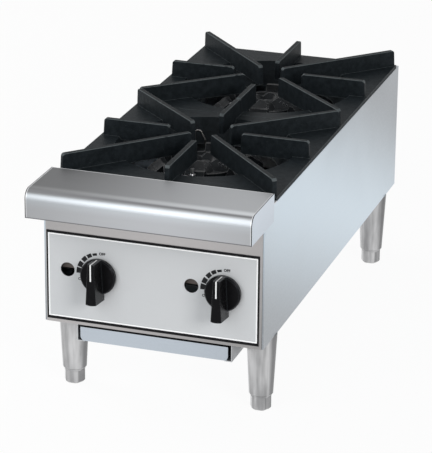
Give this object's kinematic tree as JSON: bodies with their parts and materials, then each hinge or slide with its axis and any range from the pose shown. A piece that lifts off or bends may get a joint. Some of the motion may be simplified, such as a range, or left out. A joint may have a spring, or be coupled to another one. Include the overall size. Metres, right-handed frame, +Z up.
{
  "type": "gas hot plate",
  "caption": "Countertop gas hot plate with lift-off cast grates and burner heads, bar knobs, a slide-out crumb tray, air shutters and adjustable legs.",
  "frame": {"origin": "centre of the bounding box on the surface the feet stand on", "axes": "+Z up, +Y from the control panel to the back with the gas inlet, +X to the right seen from the front"},
  "size_m": [0.305, 0.761, 0.3242],
  "materials": {
    "side_steel": "satin",
    "panel_steel": "satin",
    "ledge_steel": "satin",
    "inner_steel": "galvanised",
    "overlay_print": "printed film",
    "knob_plastic": "satin",
    "pointer_white": "printed",
    "grate_iron": "coated",
    "burner_iron": "raw",
    "leg_metal": "cast",
    "brass": "machined",
    "pipe_black": "satin",
    "pilot_tube": "drawn",
    "fastener": "zinc",
    "tray_steel": "satin",
    "pilot_chrome": "polished"
  },
  "bodies": {
    "body": {"side_panel_left": "side_steel", "side_panel_right": "side_steel", "back_panel": "side_steel", "back_panel_screws": "fastener", "front_panel": "panel_steel", "control_overlay": "overlay_print", "ledge_shell": "ledge_steel", "ledge_cap_left": "ledge_steel", "ledge_cap_right": "ledge_steel", "gas_valve_left": "brass", "gas_valve_right": "brass", "orifice_hood_left": "brass", "orifice_hood_right": "brass", "manifold_pipe": "pipe_black", "manifold_cap": "pipe_black", "manifold_elbow": "pipe_black", "supply_pipe": "pipe_black", "manifold_brackets": "inner_steel", "burner_body_front": "burner_iron", "burner_body_rear": "burner_iron", "pilot_valve_front": "brass", "pilot_valve_rear": "brass", "pilot_tube_front": "pilot_tube", "pilot_tube_rear": "pilot_tube", "pilot_burner_front": "pilot_chrome", "pilot_burner_rear": "pilot_chrome", "heat_shield": "inner_steel", "cross_member_front": "inner_steel", "cross_member_rear": "inner_steel", "leg_gussets": "inner_steel", "leg_nuts": "fastener", "leg_front_left": "leg_metal", "leg_front_right": "leg_metal", "leg_rear_left": "leg_metal", "leg_rear_right": "leg_metal", "tray_rail_left": "inner_steel", "tray_rail_right": "inner_steel", "grate_rest_front": "inner_steel", "grate_rest_middle": "inner_steel", "grate_rest_rear": "inner_steel", "burner_support_front": "inner_steel", "burner_support_rear": "inner_steel", "sight_baffles": "inner_steel"},
    "knob_left_set": {"knob_left": "knob_plastic", "knob_pointer_left": "pointer_white", "valve_stem_left": "brass"},
    "knob_right_set": {"knob_right": "knob_plastic", "knob_pointer_right": "pointer_white", "valve_stem_right": "brass"},
    "crumb_tray_body": {"crumb_tray": "tray_steel"},
    "grate_front_body": {"grate_front": "grate_iron"},
    "grate_rear_body": {"grate_rear": "grate_iron"},
    "burner_head_front_body": {"burner_head_front": "burner_iron"},
    "burner_head_rear_body": {"burner_head_rear": "burner_iron"},
    "air_shutter_front_body": {"air_shutter_front": "inner_steel"},
    "air_shutter_rear_body": {"air_shutter_rear": "inner_steel"},
    "foot_front_left_body": {"foot_front_left": "leg_metal"},
    "foot_front_right_body": {"foot_front_right": "leg_metal"},
    "foot_rear_left_body": {"foot_rear_left": "leg_metal"},
    "foot_rear_right_body": {"foot_rear_right": "leg_metal"}
  },
  "joints": [
    {"name": "knob_left_turn", "type": "hinge", "parent": "body", "child": "knob_left_set", "pos_m": [-0.0735, -0.3205, 0.1823], "axis": [0, -1, 0], "range_deg": [0, 110]},
    {"name": "knob_right_turn", "type": "hinge", "parent": "body", "child": "knob_right_set", "pos_m": [0.0975, -0.3205, 0.1823], "axis": [0, -1, 0], "range_deg": [0, 110]},
    {"name": "crumb_tray_slide", "type": "slide", "parent": "body", "child": "crumb_tray_body", "axis": [0, -1, 0], "range_m": [0, 0.6]},
    {"name": "grate_front_lift", "type": "slide", "parent": "body", "child": "grate_front_body", "axis": [0, 0, 1], "range_m": [0, 0.12]},
    {"name": "grate_rear_lift", "type": "slide", "parent": "body", "child": "grate_rear_body", "axis": [0, 0, 1], "range_m": [0, 0.12]},
    {"name": "burner_head_front_lift", "type": "slide", "parent": "body", "child": "burner_head_front_body", "axis": [0, 0, 1], "range_m": [0, 0.01]},
    {"name": "burner_head_rear_lift", "type": "slide", "parent": "body", "child": "burner_head_rear_body", "axis": [0, 0, 1], "range_m": [0, 0.01]},
    {"name": "air_shutter_front_turn", "type": "hinge", "parent": "body", "child": "air_shutter_front_body", "pos_m": [-0.0735, -0.2415, 0.1823], "axis": [0, 1, 0], "range_deg": [0, 60]},
    {"name": "air_shutter_rear_turn", "type": "hinge", "parent": "body", "child": "air_shutter_rear_body", "pos_m": [0.0975, -0.2415, 0.1823], "axis": [0, 1, 0], "range_deg": [0, 60]},
    {"name": "foot_front_left_adjust", "type": "slide", "parent": "body", "child": "foot_front_left_body", "axis": [0, 0, -1], "range_m": [0, 0.02]},
    {"name": "foot_front_right_adjust", "type": "slide", "parent": "body", "child": "foot_front_right_body", "axis": [0, 0, -1], "range_m": [0, 0.02]},
    {"name": "foot_rear_left_adjust", "type": "slide", "parent": "body", "child": "foot_rear_left_body", "axis": [0, 0, -1], "range_m": [0, 0.02]},
    {"name": "foot_rear_right_adjust", "type": "slide", "parent": "body", "child": "foot_rear_right_body", "axis": [0, 0, -1], "range_m": [0, 0.02]}
  ]
}
